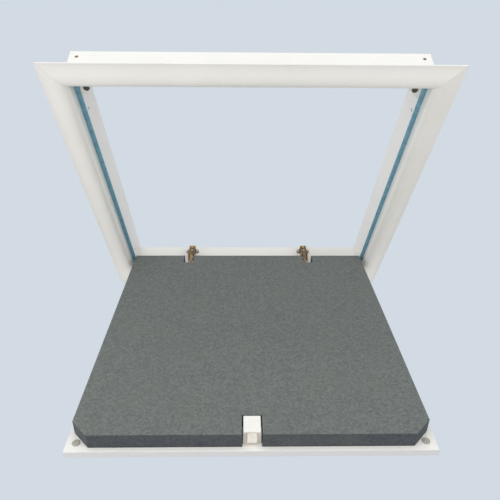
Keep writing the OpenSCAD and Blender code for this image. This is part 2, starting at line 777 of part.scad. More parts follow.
module bolt_profile() {
    nose_z = bolt_z0 + bolt_lead + bolt_front - bolt_tip;
    polygon([[bolt_lug_y + bolt_lug_t, bolt_z0], [bolt_front, bolt_z0], [bolt_front, bolt_z0 + bolt_lead],
        [bolt_tip, nose_z], [bolt_tip, nose_z + 3], [bolt_front, bolt_z1 - 1], [bolt_front, bolt_z1],
        [bolt_lug_y + bolt_lug_t, bolt_z1]]);
}
module catch_bolt() {
    color(nylon) open_door() difference() {
        union() {
            slab(-bolt_w / 2, bolt_w / 2) bolt_profile();
            translate([-base_half + side_gap, bolt_lug_y, bolt_z0])
                cube([2 * (base_half - side_gap), bolt_lug_t, bolt_z1 - bolt_z0]);
        }
        translate([0, bolt_lug_y + bolt_lug_t + 1, spring_z]) rotate([90, 0, 0])
            cylinder(r = spring_r + 0.4, h = bolt_lug_y + bolt_lug_t + 1 - spring_y0 + side_gap);
    }
}
// Compression spring: a round wire swept along a helix, closed with flat caps
spring_y1 = stop_y - side_gap / 2;
spring_sides = 8;
spring_steps = 12;
function spring_ring(i, n) =
    let (t = i / n, a = 360 * spring_turns * t, r = spring_r - spring_wire / 2,
        y = spring_y0 + spring_wire / 2 + (spring_y1 - spring_y0 - spring_wire) * t)
    [for (k = [0:spring_sides - 1]) let (b = 360 * k / spring_sides, rr = r + spring_wire / 2 * cos(b))
        [rr * cos(a), y + spring_wire / 2 * sin(b), spring_z + rr * sin(a)]];
module catch_spring() {
    n = spring_turns * spring_steps;
    s = spring_sides;
    points = [for (i = [0:n]) each spring_ring(i, n)];
    sides = [for (i = [0:n - 1], k = [0:s - 1]) [i * s + k, i * s + (k + 1) % s, (i + 1) * s + (k + 1) % s, (i + 1) * s + k]];
    caps = [[for (k = [s - 1:-1:0]) k], [for (k = [0:s - 1]) n * s + k]];
    color(steel) open_door() polyhedron(points, concat(sides, caps));
}
module catch_screws() { color(steel) open_door() catch_screw_places() flush_screw(catch_screw); }

frame_catch_side();
frame_hinge_side();
frame_left();
frame_right();
corner_keys();
corner_screws();
seal_catch_side();
seal_hinge_side();
seal_left();
seal_right();
corner_bracket_left();
corner_bracket_right();
corner_magnet_left();
corner_magnet_right();
bracket_screws();
keeper();
keeper_screws();
hinge_plate_left();
hinge_plate_right();
hinge_plate_screws();
hinge_arm_left();
hinge_arm_right();
arm_screws();
adjusting_screws();
arm_pins();
short_link_left();
short_link_right();
long_link_left();
long_link_right();
hinge_tray_left();
hinge_tray_right();
tray_screws();
tray_pins();
door_panel();
insulation_block();
strike_disc_left();
strike_disc_right();
catch_base();
catch_cover();
catch_bolt();
catch_spring();
catch_screws();
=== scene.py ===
"""Dresses an insulated ceiling hatch: surfaces, screws, the foam board and the studio around it."""

import json
import math

import bmesh
import bpy
import numpy as np
from mathutils import Matrix, Vector


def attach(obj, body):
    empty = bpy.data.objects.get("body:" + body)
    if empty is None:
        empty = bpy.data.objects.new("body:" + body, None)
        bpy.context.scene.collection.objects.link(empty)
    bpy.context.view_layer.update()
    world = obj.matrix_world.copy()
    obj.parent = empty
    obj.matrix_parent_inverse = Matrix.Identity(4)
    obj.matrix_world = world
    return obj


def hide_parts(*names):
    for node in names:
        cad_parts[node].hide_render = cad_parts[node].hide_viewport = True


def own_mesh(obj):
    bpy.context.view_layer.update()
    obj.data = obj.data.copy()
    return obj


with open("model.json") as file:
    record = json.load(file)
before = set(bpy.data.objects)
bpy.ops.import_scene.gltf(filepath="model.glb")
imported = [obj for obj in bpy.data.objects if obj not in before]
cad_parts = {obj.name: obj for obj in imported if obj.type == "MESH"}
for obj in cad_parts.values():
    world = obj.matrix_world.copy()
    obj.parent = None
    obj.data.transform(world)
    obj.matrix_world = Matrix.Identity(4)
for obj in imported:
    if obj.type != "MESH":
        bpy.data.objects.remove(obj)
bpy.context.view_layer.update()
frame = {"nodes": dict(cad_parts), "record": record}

bl_info = {
    "name": "Insulated ceiling hatch",
    "version": (1, 0, 0),
    "blender": (4, 5, 0),
    "location": "View3D > Sidebar > Hatch",
    "description": "Builds the finishes, screws, foam board and studio of a ceiling hatch",
    "category": "Object",
}

MM = 0.001
JOINTS = {joint["name"]: joint for joint in frame["record"]["behaviour"]["joints"]}

# The door's own frame: drawn shut, then carried to the angle at which the door stands
TRAY_PIN_SHUT = (0.256, 0.0123)
TRAY_PIN_OPEN = tuple(JOINTS["door_swing"]["pos_m"][1:])
SLIDE = JOINTS["catch_bolt_slide"]["axis"]
OPEN_ANGLE = math.atan2(SLIDE[2], SLIDE[1])
DOOR_UP = (0, -math.sin(OPEN_ANGLE), math.cos(OPEN_ANGLE))

# In millimetres: the upstand's outer and inner walls and the hinges, from the middle, and the
# height of the panel's upper face when the door is shut
HALF_OUT = 278.0
HALF_IN = 261.0
HINGE_X = 134.0
PANEL_TOP = 15.0
BOTH = (-1, 1)

# Kinds of screw: the head's radius and height, the shank's radius and length in millimetres, and
# whether the head sits flush
CORNER_SCREW = (2.8, 1.4, 1.75, 13, True)
SMALL_SCREW = (2.9, 1.7, 1.6, 9, False)
PLATE_SCREW = (3.6, 2, 2, 11, False)
FRONT_SCREW = (2.7, 1.6, 1.6, 5, False)
DEPTH_SCREW = (2.4, 1.4, 1.6, 5, False)
TRAY_SCREW = (2.4, 1.3, 1.4, 8, False)
CATCH_SCREW = (2.6, 1.2, 1.4, 8, True)

# The foam's waves: heights and sizes in millimetres, and seeds. The shift keeps every place that
# the noise reads above zero
TOP_WAVES = ((0.10, 23, 3), (0.06, 9, 4))
WALL_WAVE, WALL_WAVE_SIZE, WALL_WAVE_SEED = 0.16, 11, 5
GRAIN_SHIFT = 900.0

# Where the photograph was taken from: place in metres, angles in degrees, and the focal length
# and the picture's width in pixels
CAMERA_PLACE = (-0.01533, -0.7409, -0.60356)
PITCH, YAW, ROLL = math.radians(33.57), math.radians(1.183), math.radians(-0.619)
FOCAL_PIXELS, PICTURE_PIXELS = 491.54, 500.0
SENSOR_WIDTH = 36.0

# Each lamp's place, target and size in metres. A fill lamp has its share of the fill power too
KEY_LAMP = ((-0.4, -1.7, 0.5), (0, 0, -0.1), 1.5)
FILL_LAMPS = (
    ("fill_lamp_right", (1.2, -1.3, -0.3), (0, 0, 0), 1.2, 0.85),
    ("fill_lamp_left", (-1.5, -0.5, -0.45), (0, 0, 0), 1.0, 0.85),
    ("fill_lamp_low", (-0.4, -1.15, -0.8), (0, 0, 0), 1.0, 0.25),
    ("fill_lamp_back", (0.9, 2.1, 0.35), (0, 0, -0.15), 1.6, 0.9),
)
FLOOR_REACH = 40.0
FLOOR_LIFT = 0.24


# ---------------------------------------------------------------- points and meshes

def shut_to_open(points):
    """Points of the shut door in metres, turned by the open angle about the tray's low pin and
    moved to where that pin stands."""
    c, s = math.cos(OPEN_ANGLE), math.sin(OPEN_ANGLE)
    y = points[..., 1] - TRAY_PIN_SHUT[0]
    z = points[..., 2] - TRAY_PIN_SHUT[1]
    return np.stack([points[..., 0], TRAY_PIN_OPEN[0] + c * y - s * z,
                     TRAY_PIN_OPEN[1] + s * y + c * z], -1)


def grain(x, y, size, seed):
    """Smooth noise of about unit height: a seeded lattice of random heights, size apart, with
    each point's value blended from the four around it by a cubic ease."""
    count = 64
    table = np.random.default_rng(seed).uniform(-1, 1, (count, count))
    u, v = np.asarray(x) / size, np.asarray(y) / size
    i, j = np.floor(u).astype(int), np.floor(v).astype(int)
    a, b = u - i, v - j
    a, b = a * a * (3 - 2 * a), b * b * (3 - 2 * b)
    i, j, i_next, j_next = i % count, j % count, (i + 1) % count, (j + 1) % count
    near = table[i, j] * (1 - a) + table[i_next, j] * a
    far = table[i, j_next] * (1 - a) + table[i_next, j_next] * a
    return near * (1 - b) + far * b


def new_mesh(name, vertices, faces, smooth=True):
    """An object whose mesh has these points in metres, with doubles merged and faces turned
    outwards."""
    mesh = bpy.data.meshes.new(name)
    mesh.from_pydata(np.asarray(vertices).reshape(-1, 3).tolist(), [], faces)
    shell = bmesh.new()
    shell.from_mesh(mesh)
    bmesh.ops.remove_doubles(shell, verts=shell.verts, dist=1e-7)
    bmesh.ops.recalc_face_normals(shell, faces=shell.faces)
    shell.to_mesh(mesh)
    shell.free()
    mesh.polygons.foreach_set("use_smooth", np.full(len(mesh.polygons), smooth))
    piece = bpy.data.objects.new(name, mesh)
    bpy.context.scene.collection.objects.link(piece)
    return piece


def sheet_faces(rows, columns, start=0):
    """Four-sided faces of a grid of points that closes on itself along its columns."""
    i, j = np.meshgrid(np.arange(rows - 1), np.arange(columns), indexing="ij")
    j_next = (j + 1) % columns
    corners = [i * columns + j, i * columns + j_next,
               (i + 1) * columns + j_next, (i + 1) * columns + j]
    return (start + np.stack(corners, -1).reshape(-1, 4)).tolist()


# ---------------------------------------------------------------- materials

def colour(code):
    """A linear colour from an sRGB hex value."""
    parts = [int(code[i:i + 2], 16) / 255 for i in (1, 3, 5)]
    return [v / 12.92 if v <= 0.04045 else ((v + 0.055) / 1.055) ** 2.4 for v in parts] + [1.0]


def add(tree, kind, sockets=None, **settings):
    """Adds a node with its settings, and gives each named socket a value or a link."""
    node = tree.nodes.new(kind)
    for key, value in settings.items():
        setattr(node, key, value)
    for key, value in (sockets or {}).items():
        if isinstance(value, bpy.types.NodeSocket):
            tree.links.new(value, node.inputs[key])
        else:
            node.inputs[key].default_value = value
    return node


def per_mm(size):
    """The pattern scale at which one feature of a pattern is size millimetres across."""
    return 1.0 / (size * MM)


class Finish:
    """A Principled surface that reads Object coordinates, with the patterns that its makers add."""

    def __init__(self, name, base, roughness, metallic=0.0, ior=1.5, stretch=(1, 1, 1)):
        self.material = bpy.data.materials.new(name)
        self.material.use_nodes = True
        self.tree = self.material.node_tree
        self.tree.nodes.clear()
        self.shader = add(self.tree, "ShaderNodeBsdfPrincipled",
                          {"Base Color": colour(base), "Roughness": roughness,
                           "Metallic": metallic, "IOR": ior})
        add(self.tree, "ShaderNodeOutputMaterial", {"Surface": self.shader.outputs[0]})
        self.coordinates = add(self.tree, "ShaderNodeTexCoord").outputs
        self.place = add(self.tree, "ShaderNodeMapping",
                         {"Vector": self.coordinates["Object"], "Scale": stretch}).outputs[0]

    def noise(self, size, detail=2.0, rough=0.5, place=None):
        """Noise whose features are size millimetres across, stretched unless a place is given."""
        return add(self.tree, "ShaderNodeTexNoise",
                   {"Vector": place or self.place, "Scale": per_mm(size), "Detail": detail,
                    "Roughness": rough}).outputs["Fac"]

    def cells(self, size):
        """Cells size millimetres across: the distance from each one's middle, and its own tone."""
        found = add(self.tree, "ShaderNodeTexVoronoi",
                    {"Vector": self.place, "Scale": per_mm(size)})
        tone = add(self.tree, "ShaderNodeSeparateColor", {"Color": found.outputs["Color"]})
        return found.outputs["Distance"], tone.outputs[0]

    def spread(self, value, low, high, low_out=0.0, high_out=1.0):
        """Carries a pattern's middle range to another range, held at both ends."""
        return add(self.tree, "ShaderNodeMapRange",
                   {"Value": value, "From Min": low, "From Max": high, "To Min": low_out,
                    "To Max": high_out}).outputs[0]

    def blend(self, factor, first, second):
        """One colour over another by a factor. Either is a hex value or a link."""
        first, second = (colour(c) if isinstance(c, str) else c for c in (first, second))
        return add(self.tree, "ShaderNodeMix", {0: factor, 6: first, 7: second},
                   data_type="RGBA").outputs[2]

    def paint(self, value):
        """Links the base colour."""
        self.tree.links.new(value, self.shader.inputs["Base Color"])

    def roughen(self, value):
        """Links the roughness."""
        self.tree.links.new(value, self.shader.inputs["Roughness"])

    def relief(self, height, depth, soften=0.0, strength=1.0):
        """The material, with bump of a depth over edges softened by a radius, both in metres."""
        sockets = {"Height": height, "Distance": depth, "Strength": strength}
        if soften:
            bevel = add(self.tree, "ShaderNodeBevel", {"Radius": soften}, samples=6)
            sockets["Normal"] = bevel.outputs[0]
        bump = add(self.tree, "ShaderNodeBump", sockets)
        self.tree.links.new(bump.outputs[0], self.shader.inputs["Normal"])
        return self.material


def extruded_upvc(name, along):
    """Extruded white uPVC: an even satin skin, with faint die lines along its length and dust in
    patches."""
    # Die lines are stretched forty times along the member
    stretch = (0.025, 1, 1) if along == "x" else (1, 0.025, 1)
    skin = Finish(name, "#F1F0EC", 0.32, ior=1.53, stretch=stretch)
    lines = skin.noise(1.6, 3.0)
    dust = skin.noise(70, 3.0, place=skin.coordinates["Object"])
    skin.paint(skin.blend(skin.spread(dust, 0.35, 0.7), "#F2F1ED", "#EFEEE9"))
    skin.roughen(skin.spread(lines, 0.3, 0.7, 0.27, 0.38))
    return skin.relief(lines, 0.03 * MM, 0.5 * MM)


def moulded_abs():
    """Injection-moulded white ABS: slightly creamier than the frame, with a fine spark-eroded
    grain."""
    skin = Finish("moulded_abs_white", "#F2F1EB", 0.42, ior=1.54)
    fine = skin.noise(0.5)
    skin.paint(skin.blend(skin.spread(skin.noise(18), 0.3, 0.7), "#F3F2ED", "#EFEDE6"))
    skin.roughen(skin.spread(fine, 0.3, 0.7, 0.38, 0.5))
    return skin.relief(fine, 0.02 * MM, 0.35 * MM)


def faced_fibreboard():
    """Fibreboard with a white melamine face, a hard satin with a faint orange peel. Its edges are
    painted a darker grey, which is painted shade."""
    skin = Finish("melamine_faced_fibreboard", "#F3F2EE", 0.36, ior=1.52)
    peel = skin.noise(2.2)
    face = skin.blend(skin.spread(skin.noise(90, 3.0), 0.35, 0.7), "#F4F3EF", "#F1F0EB")
    # How nearly a surface faces along the panel's thickness, in the panel's own space
    facing = add(skin.tree, "ShaderNodeVectorMath", {0: skin.coordinates["Normal"], 1: DOOR_UP},
                 operation="DOT_PRODUCT")
    across = add(skin.tree, "ShaderNodeMath", {0: facing.outputs["Value"]}, operation="ABSOLUTE")
    # Faces that turn away from the panel's thickness, its edges, take a darker grey: painted shade
    skin.paint(skin.blend(skin.spread(across.outputs[0], 0.6, 0.8), "#DFDFE2", face))
    skin.roughen(skin.spread(peel, 0.3, 0.7, 0.32, 0.43))
    return skin.relief(peel, 0.03 * MM, 0.6 * MM)


def graphite_foam(name, dark, pale, fleck):
    """Expanded polystyrene with graphite: matt grey beads pressed together, each a slightly
    different grey, with faint warm and cool clouds. The board's sides take a copy made from
    darker tones, which is painted shade."""
    foam = Finish(name, dark, 0.92, ior=1.45)
    # Real beads are 2 to 4 mm across
    distance, tone = foam.cells(3.2)
    specks = foam.noise(1.1, 3.0, 0.7)
    grey = foam.blend(foam.spread(tone, 0.0, 1.0, 0.0, 0.6), dark, pale)
    grey = foam.blend(foam.spread(specks, 0.3, 0.7, 0.0, 0.85), grey, fleck)
    warm = foam.blend(foam.spread(foam.noise(60, 3.0), 0.45, 0.75, 0.0, 0.16), grey, "#77756A")
    foam.paint(foam.blend(foam.spread(foam.noise(95, 3.0), 0.5, 0.75, 0.0, 0.2), warm, "#636D6A"))
    dents = add(foam.tree, "ShaderNodeMath", {0: distance, 1: specks}, operation="SUBTRACT")
    return foam.relief(dents.outputs[0], 0.35 * MM, 0.8 * MM, 0.7)


def cellular_rubber():
    """Cellular rubber strip, blue-green: a matt skin with fine open pores."""
    strip = Finish("cellular_rubber_teal", "#6A9DB4", 0.78, ior=1.52)
    pores, _ = strip.cells(0.6)
    strip.paint(strip.blend(strip.spread(strip.noise(9), 0.3, 0.7), "#6399B1", "#7DB0C4"))
    return strip.relief(pores, 0.12 * MM, 0.3 * MM, 0.8)


def bronzed_steel():
    """Pressed steel with a bronze lacquer: brown metal, brighter where the lacquer is thin and
    rubbed."""
    metal = Finish("bronze_lacquered_steel", "#705C45", 0.36, metallic=1.0)
    cloud = metal.noise(5, 4.0, 0.6)
    metal.paint(metal.blend(metal.spread(cloud, 0.35, 0.7), "#604B36", "#A08666"))
    metal.roughen(metal.spread(cloud, 0.3, 0.7, 0.28, 0.48))
    return metal.relief(metal.noise(0.8), 0.03 * MM, 0.3 * MM)


def passivated_screw():
    """Zinc-plated screw with yellow passivation: two close golds in faint clouds."""
    metal = Finish("yellow_passivated_zinc", "#C9A04E", 0.3, metallic=1.0)
    metal.paint(metal.blend(metal.spread(metal.noise(1.8), 0.35, 0.65), "#D3AE62", "#B7904A"))
    return metal.relief(metal.noise(0.4), 0.015 * MM)


def browned_screw():
    """Brown-plated wood screw: dark warm metal."""
    metal = Finish("brown_plated_steel", "#8F7A68", 0.42, metallic=1.0)
    metal.paint(metal.blend(metal.spread(metal.noise(1.5), 0.35, 0.65), "#85705F", "#A08D7B"))
    return metal.relief(metal.noise(0.4), 0.015 * MM)


def zinc_steel():
    """Zinc-plated steel: light grey metal with a soft spangle. It is made once and shared."""
    shared = bpy.data.materials.get("zinc_plated_steel")
    if shared:
        return shared
    metal = Finish("zinc_plated_steel", "#B5B3AC", 0.34, metallic=1.0)
    _, tone = metal.cells(1.6)
    metal.paint(metal.blend(metal.spread(tone, 0.0, 1.0), "#A9A7A0", "#C2C0B8"))
    metal.roughen(metal.spread(tone, 0.0, 1.0, 0.28, 0.42))
    return metal.relief(metal.noise(0.5), 0.015 * MM, 0.2 * MM)


def phosphated_steel():
    """Phosphated steel: a dull warm grey coat, mottled by the crystals of the bath."""
    coat = Finish("phosphated_steel", "#B9B4A8", 0.62, metallic=0.4)
    _, tone = coat.cells(0.9)
    coat.paint(coat.blend(coat.spread(tone, 0.0, 1.0), "#AFAA9E", "#C4C0B4"))
    coat.roughen(coat.spread(tone, 0.0, 1.0, 0.55, 0.7))
    return coat.relief(coat.noise(0.4), 0.02 * MM, 0.2 * MM)


def cast_nylon():
    """Injection-moulded natural nylon: warm white, slightly waxy."""
    skin = Finish("natural_nylon", "#EFEBE2", 0.4, ior=1.53)
    skin.paint(skin.blend(skin.spread(skin.noise(6), 0.3, 0.7), "#F3F0E8", "#E4DFD3"))
    return skin.relief(skin.noise(0.5), 0.02 * MM, 0.3 * MM)


def sintered_ferrite():
    """Sintered ferrite: near-black ceramic with a fine ground grain."""
    stone = Finish("sintered_ferrite", "#232325", 0.55, ior=1.8)
    stone.paint(stone.blend(stone.spread(stone.noise(0.7), 0.35, 0.65), "#1C1C1E", "#313133"))
    return stone.relief(stone.noise(0.4), 0.03 * MM, 0.3 * MM)


def mill_aluminium():
    """Mill-finish aluminium: pale metal with a fine even grain."""
    metal = Finish("mill_aluminium", "#C8C9CA", 0.38, metallic=1.0)
    fine = metal.noise(0.6)
    metal.roughen(metal.spread(fine, 0.3, 0.7, 0.3, 0.46))
    return metal.relief(fine, 0.02 * MM)


def dress(material, *nodes):
    """Gives CAD nodes a material."""
    for name in nodes:
        node = frame["nodes"][name]
        node.data.materials.clear()
        node.data.materials.append(material)


# ---------------------------------------------------------------- screws

def screw_points(head_r, head_h, shank_r, length, flush):
    """A screw on its axis with its head's seat at z = 0: rings of points, as a profile of radius
    and height turned about the axis. The head's face dips by a cross: the depth is full within
    the cross's arms, eases to nothing across their edges, and lessens towards their ends."""
    sides, face_rings = 64, 17
    turn = np.linspace(0, 2 * math.pi, sides, endpoint=False)
    face = np.linspace(0, 1, face_rings)[:, None]
    # A flush head is flat, and any other is domed by its crown
    face_r, top, crown = (0.96, 0.0, 0.0) if flush else (0.86, head_h, 0.38 * head_h)
    r = face * head_r * face_r
    x, y = r * np.cos(turn), r * np.sin(turn)
    z = top - crown * face ** 2.4 + 0 * turn
    reach, arm = 0.62 * head_r, 0.17 * head_r
    across = np.minimum(np.maximum(np.abs(x) / reach, np.abs(y) / arm),
                        np.maximum(np.abs(y) / reach, np.abs(x) / arm))
    ease = np.clip((1.12 - across) / 0.24, 0, 1)
    depth = 0.55 * head_h * ease * (1 - 0.45 * np.clip(r / reach, 0, 1))
    rings = [np.stack([x, y, z - depth], -1)]
    if flush:
        side = [(0.99 * head_r, -0.06 * head_h), (head_r, -0.14 * head_h),
                (shank_r, shank_r - head_r)]
    else:
        side = [(0.94 * head_r, 0.4 * head_h), (0.99 * head_r, 0.2 * head_h),
                (head_r, 0.05 * head_h), (head_r, 0.0), (shank_r, 0.0)]
    side += [(shank_r, shank_r - length), (0.3 * shank_r, -length + 0.1 * shank_r), (0.0, -length)]
    for radius, height in side:
        ring = [radius * np.cos(turn), radius * np.sin(turn), height + 0 * turn]
        rings.append(np.stack(ring, -1)[None])
    return np.concatenate(rings) * MM


def screws(name, node, body, material, batches, on_door=False):
    """One piece that holds all the screws of a node. Each batch is a kind of screw and its
    places, and each place is a point in millimetres and the way the head faces."""
    points, faces, first = [], [], 0
    # No two recesses of a piece point the same way: each screw is turned on from the last one
    step = math.radians(37.0)
    for kind, places in batches:
        base = screw_points(*kind)
        rows, columns = base.shape[:2]
        for where, facing in places:
            turn = np.array(Vector(facing).to_track_quat("Z", "Y").to_matrix())
            c, s = math.cos(step * len(points)), math.sin(step * len(points))
            twist = np.array([[c, -s, 0], [s, c, 0], [0, 0, 1]])
            faces += sheet_faces(rows, columns, first)
            points.append((base.reshape(-1, 3) @ twist.T @ turn.T) + np.array(where) * MM)
            first += rows * columns
    points = np.concatenate(points)
    piece = new_mesh(name, shut_to_open(points) if on_door else points, faces)
    piece.data.materials.append(material)
    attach(piece, body)
    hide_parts(node)
    return piece


# ---------------------------------------------------------------- foam board

def lines_through(marks, pitch, soft):
    """Grid lines that pass through every mark, at most pitch apart, and closer beside each mark."""
    out = []
    for low, high in zip(marks[:-1], marks[1:]):
        near = [s for s in soft if 2 * s < high - low]
        inner_low, inner_high = low + max(near, default=0), high - max(near, default=0)
        steps = max(1, math.ceil((inner_high - inner_low) / pitch))
        out += [low] + [low + s for s in near[:-1]]
        out += list(np.linspace(inner_low, inner_high, steps + 1))
        out += [high - s for s in reversed(near[:-1])]
    return np.unique(np.round(out + [marks[-1]], 4))


def to_segments(points, a, b):
    """The least distance from points to line segments from a to b."""
    p = points[:, None]
    d = b - a
    t = np.clip(((p - a) * d).sum(-1) / (d * d).sum(-1), 0, 1)
    return np.linalg.norm(p - a - t[..., None] * d, axis=-1).min(1)


def foam_board(half, rear, top, cut, catch_half, catch_end, notch_in, notch_out, notch_front,
               edge):
    """The cut foam block. Its plan is a grid of lines through every corner of the outline, less
    the catch's and the hinges' notches and the two front corners, which the grid crosses on its
    own diagonal. The upper face lies at the top less a quarter-round drop within one edge radius
    of the outline, plus low waves. Walls join each outline edge to the lower face."""
    pitch, soft = 5.0, [0.35, 0.9, 1.6]
    hinge_in, hinge_out = HINGE_X - notch_in, HINGE_X + notch_out
    marks = (half, half - cut, hinge_out, hinge_in, catch_half)
    x = lines_through(sorted(s * m for m in marks for s in BOTH), pitch, soft)
    y = lines_through([-half, -half + cut, catch_end, notch_front, rear], pitch, soft)
    plan = np.stack(np.meshgrid(x, y, indexing="ij"), -1).reshape(-1, 2)
    plan_x, plan_y = plan[:, 0], plan[:, 1]
    count, n = len(plan), len(y)

    # Cells of the grid, less those that lie in a notch
    mid_x, mid_y = np.abs(x[1:] + x[:-1])[:, None] / 2, (y[1:] + y[:-1])[None] / 2
    keep = ~((mid_x < catch_half) & (mid_y < catch_end))
    keep &= ~((mid_x > hinge_in) & (mid_x < hinge_out) & (mid_y > notch_front))
    i, j = np.meshgrid(np.arange(len(x) - 1), np.arange(n - 1), indexing="ij")
    cells = np.stack([i * n + j, (i + 1) * n + j, (i + 1) * n + j + 1, i * n + j + 1], -1)[keep]

    # How far inside the slanted cuts each corner lies; cells on the cut keep their inner triangle
    inside = np.round((half - np.abs(plan_x)) + (plan_y + half) - cut, 3)[cells]
    split = (inside < 0).any(1) & (inside > 0).any(1)
    inner = np.argsort(inside[split] < 0, axis=1, kind="stable")[:, :3]
    quads = cells[(inside >= 0).all(1)]
    triangles = np.sort(np.take_along_axis(cells[split], inner, 1), axis=1)

    # The outline is made of the edges that only one face has
    edges = np.concatenate([np.stack([f, np.roll(f, -1, 1)], -1).reshape(-1, 2)
                            for f in (quads, triangles)])
    key, uses = np.unique(np.sort(edges, 1), axis=0, return_counts=True)
    rim = key[uses == 1]

    # Only corners in bands along the outline are measured to it, and the others count as far
    side_band, front_band, rear_band, far = 30, 40, 6, 9.0
    used = np.unique(np.concatenate([quads.ravel(), triangles.ravel()]))
    near = used[(np.abs(np.abs(plan_x[used]) - half) < side_band)
                | (plan_y[used] < -half + front_band)
                | (plan_y[used] > notch_front - rear_band)]
    d = np.full(count, far)
    d[near] = to_segments(plan[near], plan[rim[:, 0]], plan[rim[:, 1]])

    # The waves fade to nothing over their last few millimetres before the outline
    fade = 4
    drop = edge - np.sqrt(np.maximum(edge ** 2 - np.maximum(edge - d, 0) ** 2, 0))
    swell = sum(height * grain(plan_x + GRAIN_SHIFT, plan_y + GRAIN_SHIFT, size, seed)
                for height, size, seed in TOP_WAVES)
    high = top - drop + swell * np.clip(d / fade, 0, 1)
    points = [np.column_stack([plan, high]), np.column_stack([plan, np.full(count, PANEL_TOP)])]
    faces = quads.tolist() + triangles.tolist()
    faces += [[count + v for v in face] for face in faces]

    # Walls in five steps, each waved in and out by less than a fifth of a millimetre
    steps = 5
    ring = np.unique(rim)
    ring_x, ring_y = plan_x[ring], plan_y[ring]
    along = ring_x + ring_y + GRAIN_SHIFT
    levels = [ring]
    for step, z in enumerate(np.linspace(top - edge, PANEL_TOP, steps + 1)[1:-1]):
        up = z * 4 + 0 * ring_x + GRAIN_SHIFT
        wave = WALL_WAVE * grain(along, up, WALL_WAVE_SIZE, WALL_WAVE_SEED)
        points.append(np.stack([ring_x - wave * np.sign(ring_x), ring_y + wave,
                                np.full(len(ring), z)], -1))
        levels.append(2 * count + step * len(ring) + np.arange(len(ring)))
    levels.append(ring + count)
    place = np.full(count, -1)
    place[ring] = np.arange(len(ring))
    a, b = place[rim[:, 0]], place[rim[:, 1]]
    for one, two in zip(levels[:-1], levels[1:]):
        faces += np.stack([one[a], one[b], two[b], two[a]], -1).tolist()
    return np.concatenate(points) * MM, faces


# ---------------------------------------------------------------- catch spring

def coil_spring(radius, wire, front, back, height, turns):
    """A round wire carried along a helix: each ring is a circle across the wire, and its centre
    turns about the axis while it climbs by one wire in the first and the last turn and evenly in
    between. Both ends close on a point."""
    per_turn, sides = 24, 12
    turned = np.linspace(0, turns, per_turn * turns + 1)
    turned = np.concatenate([turned[:1], turned, turned[-1:]])
    thick = np.full(len(turned), wire / 2)
    thick[[0, -1]] = 0
    a = 2 * math.pi * turned[:, None]
    b = np.linspace(0, 2 * math.pi, sides, endpoint=False)
    climb = np.interp(turned, [0, 1, turns - 1, turns],
                      [0, wire, back - front - 2 * wire, back - front - wire])
    out = radius - wire / 2 + thick[:, None] * np.cos(b)
    along = front + wire / 2 + climb[:, None] + thick[:, None] * np.sin(b)
    return np.stack([out * np.cos(a), along, height + out * np.sin(a)], -1) * MM


# ---------------------------------------------------------------- settings and operators

class HatchSettings(bpy.types.PropertyGroup):
    """Sizes and colours that a user would change."""

    foam_edge: bpy.props.FloatProperty(
        name="Foam edge", description="Radius worn on the foam's edges, in millimetres",
        default=1.3, min=0.3, max=1.5)
    backdrop: bpy.props.FloatVectorProperty(
        name="Backdrop", description="Colour seen behind the hatch", subtype="COLOR", size=3,
        default=colour("#D2DAE3")[:3], min=0, max=1)
    floor_drop: bpy.props.FloatProperty(
        name="Floor", description="Height of the studio floor", subtype="DISTANCE",
        default=-1.5, unit="LENGTH")
    key_power: bpy.props.FloatProperty(
        name="Key lamp", description="Power of the large lamp above the camera", default=8.0,
        unit="POWER")
    fill_power: bpy.props.FloatProperty(
        name="Fill lamps", description="Power that each of the four fill lamps has a share of",
        default=8.2, unit="POWER")
    world_light: bpy.props.FloatProperty(
        name="World light", description="Strength of the even light all round", default=0.66,
        min=0, max=2)


class HATCH_OT_frame(bpy.types.Operator):
    """Finishes the mitred frame, its keys and the seal strips"""

    bl_idname = "hatch.frame"
    bl_label = "Frame and seals"

    def execute(self, context):
        dress(extruded_upvc("extruded_upvc_x", "x"), "frame_catch_side", "frame_hinge_side")
        dress(extruded_upvc("extruded_upvc_y", "y"), "frame_left", "frame_right")
        dress(mill_aluminium(), "corner_keys")
        dress(cellular_rubber(), "seal_catch_side", "seal_hinge_side", "seal_left", "seal_right")
        return {"FINISHED"}


class HATCH_OT_brackets(bpy.types.Operator):
    """Finishes the corner brackets, their magnets and discs, and the catch's cover and keeper"""

    bl_idname = "hatch.brackets"
    bl_label = "Corner brackets and magnets"

    def execute(self, context):
        dress(moulded_abs(), "corner_bracket_left", "corner_bracket_right", "catch_cover")
        dress(sintered_ferrite(), "corner_magnet_left", "corner_magnet_right")
        dress(phosphated_steel(), "strike_disc_left", "strike_disc_right")
        dress(zinc_steel(), "keeper")
        return {"FINISHED"}


class HATCH_OT_hinges(bpy.types.Operator):
    """Finishes the hinges' plates, arms, links, trays and pins"""

    bl_idname = "hatch.hinges"
    bl_label = "Hinges"

    def execute(self, context):
        parts = ("hinge_plate", "hinge_arm", "short_link", "long_link", "hinge_tray")
        dress(bronzed_steel(), *[f"{part}_{side}" for part in parts for side in ("left", "right")])
        dress(zinc_steel(), "arm_pins", "tray_pins")
        return {"FINISHED"}


